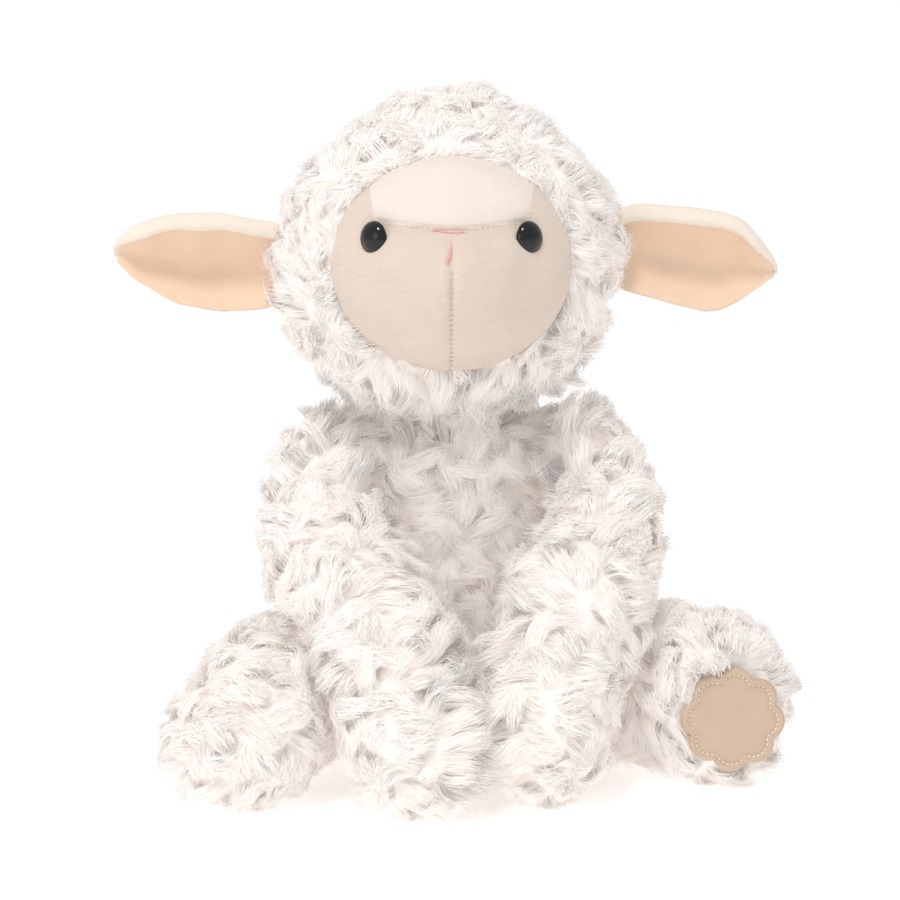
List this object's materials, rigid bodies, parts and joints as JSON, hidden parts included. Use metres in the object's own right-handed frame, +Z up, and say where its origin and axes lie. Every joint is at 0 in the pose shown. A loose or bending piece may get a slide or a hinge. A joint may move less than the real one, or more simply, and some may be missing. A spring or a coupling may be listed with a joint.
{
  "type": "stuffed toy lamb",
  "caption": "Seated stuffed toy lamb with long curly pile, a sewn velour face with domed eyes, cupped ears, jointed head and limbs, a short tail and a scalloped patch on one sole.",
  "frame": {"origin": "middle of the flat seat under the torso, on the surface that the lamb sits on", "axes": "+Z up, the lamb faces -Y, its own left side is +X"},
  "size_m": [0.2497, 0.1986, 0.2515],
  "materials": {
    "fur": "long curly off-white pile",
    "velour": "short cream velour nap",
    "lining": "short peach velour nap",
    "wadding": "white fibre filling",
    "eye": "polished black dome",
    "washer": "moulded, uncoloured",
    "leather": "fine grain, cream edge stitching"
  },
  "bodies": {
    "torso": {"torso_cover": "fur", "torso_stuffing": "wadding"},
    "neck": {"neck_stuffing": "wadding"},
    "head": {"head_cover": "fur", "head_stuffing": "wadding", "forehead_panel": "velour", "muzzle_panel_left": "velour", "muzzle_panel_right": "velour", "eye_left": "eye", "eye_right": "eye", "eye_washer_left": "washer", "eye_washer_right": "washer"},
    "ear_left": {"ear_outer_left": "velour", "ear_lining_left": "lining"},
    "ear_right": {"ear_outer_right": "velour", "ear_lining_right": "lining"},
    "arm_left": {"arm_cover_left": "fur", "arm_stuffing_left": "wadding"},
    "arm_right": {"arm_cover_right": "fur", "arm_stuffing_right": "wadding"},
    "leg_left": {"leg_cover_left": "fur", "leg_stuffing_left": "wadding", "foot_patch": "leather"},
    "leg_right": {"leg_cover_right": "fur", "leg_stuffing_right": "wadding"},
    "tail": {"tail_cover": "fur", "tail_stuffing": "wadding"}
  },
  "joints": [
    {"name": "head_turn", "type": "hinge", "parent": "torso", "child": "neck", "pos_m": [-0.0025, -0.004, 0.135], "axis": [0, 0, 1], "range_deg": [-45, 45], "stiffness_Nm_per_rad": 0.15},
    {"name": "head_nod", "type": "hinge", "parent": "neck", "child": "head", "pos_m": [-0.0025, -0.004, 0.135], "axis": [1, 0, 0], "range_deg": [-9, 12], "stiffness_Nm_per_rad": 1.2},
    {"name": "ear_left_flap", "type": "hinge", "parent": "head", "child": "ear_left", "pos_m": [0.0663, -0.005, 0.1885], "axis": [0, 0, 1], "range_deg": [-35, 35], "stiffness_Nm_per_rad": 0.01},
    {"name": "ear_right_flap", "type": "hinge", "parent": "head", "child": "ear_right", "pos_m": [-0.0713, -0.005, 0.1885], "axis": [0, 0, -1], "range_deg": [-35, 35], "stiffness_Nm_per_rad": 0.01},
    {"name": "arm_left_lift", "type": "hinge", "parent": "torso", "child": "arm_left", "pos_m": [0.05056, -0.009, 0.1065], "axis": [-1, 0, 0], "range_deg": [0, 45]},
    {"name": "arm_right_lift", "type": "hinge", "parent": "torso", "child": "arm_right", "pos_m": [-0.04756, -0.009, 0.1065], "axis": [-1, 0, 0], "range_deg": [0, 45]},
    {"name": "leg_left_splay", "type": "hinge", "parent": "torso", "child": "leg_left", "pos_m": [0.0495, -0.019, 0.0264], "axis": [0, 0, 1], "range_deg": [0, 40]},
    {"name": "leg_right_splay", "type": "hinge", "parent": "torso", "child": "leg_right", "pos_m": [-0.0495, -0.019, 0.0264], "axis": [0, 0, -1], "range_deg": [0, 55]},
    {"name": "tail_wag", "type": "hinge", "parent": "torso", "child": "tail", "pos_m": [0, 0.045, 0.034], "axis": [0, 0, 1], "range_deg": [-30, 30], "stiffness_Nm_per_rad": 0.02}
  ]
}
